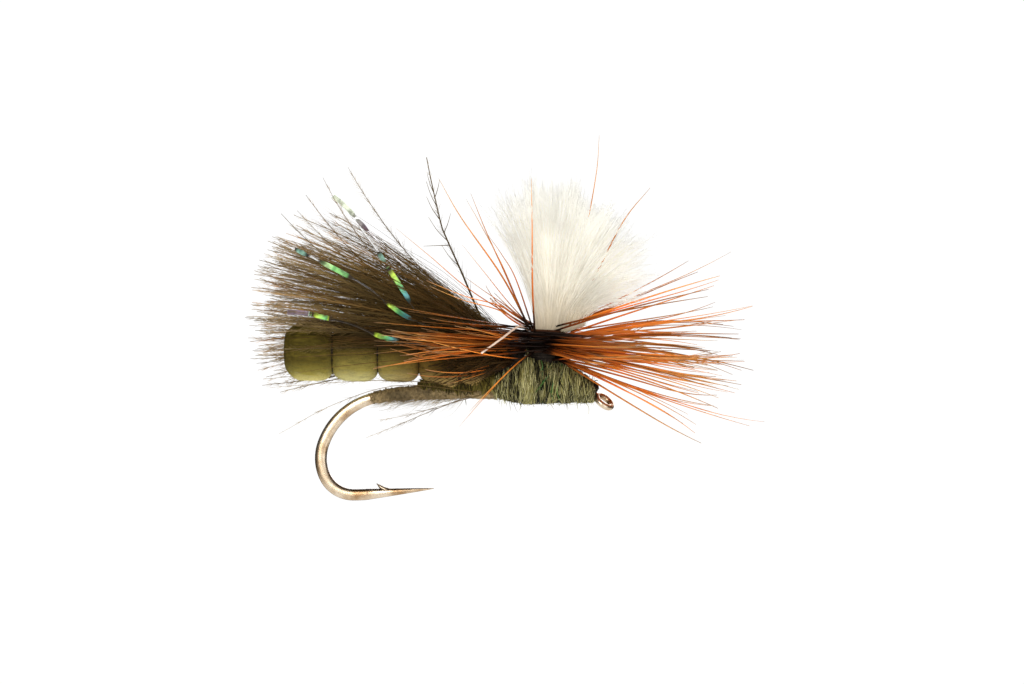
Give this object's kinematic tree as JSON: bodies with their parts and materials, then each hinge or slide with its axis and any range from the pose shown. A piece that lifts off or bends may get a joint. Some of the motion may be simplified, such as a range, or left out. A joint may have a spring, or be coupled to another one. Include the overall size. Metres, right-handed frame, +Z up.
{
  "type": "dry fly",
  "caption": "Parachute dry fly: pinched foam abdomen, swept downy wing, yarn post and flat ginger hackle on a barbed hook with a turned-down eye.",
  "frame": {"origin": "centre of the hook's eye", "axes": "+X forward out of the eye along the shank, +Z up along the wing post, the hook's point below"},
  "size_m": [0.0255, 0.0208, 0.0189],
  "materials": {
    "hook_wire": "bronzed, polished",
    "thread_grey": "fine waxed thread",
    "foam": "matte closed-cell foam",
    "thread_dark": "fine waxed thread",
    "thread_olive": "fine waxed thread",
    "feather_dark": "soft downy fibres",
    "pearl_film": "iridescent film",
    "yarn_white": "brushed poly yarn",
    "quill": "dry horn",
    "barb_ginger": "glossy feather barbs",
    "dubbing": "rough dubbed fur"
  },
  "bodies": {
    "root": {"hook": "hook_wire", "shank_thread_base": "thread_grey", "abdomen_foam": "foam", "rib_band_1": "thread_dark", "rib_band_2": "thread_dark", "rib_band_3": "thread_dark", "rib_band_4": "thread_dark", "abdomen_tie_in": "thread_olive", "wing_feather_near": "feather_dark", "wing_feather_middle": "feather_dark", "wing_feather_far": "feather_dark", "wing_stem_feather": "feather_dark", "wing_tie_in": "thread_dark", "flash_strand_1": "pearl_film", "flash_strand_2": "pearl_film", "flash_strand_3": "pearl_film", "flash_strand_4": "pearl_film", "post_yarn": "yarn_white", "post_thread_wraps": "thread_dark", "hackle_quill": "quill", "hackle_barbs_front": "barb_ginger", "hackle_barbs_rear": "barb_ginger", "hackle_barbs_near": "barb_ginger", "hackle_barbs_far": "barb_ginger", "hackle_barbs_upright": "barb_ginger", "thorax_dubbing": "dubbing", "head_thread": "thread_dark"}
  },
  "joints": []
}
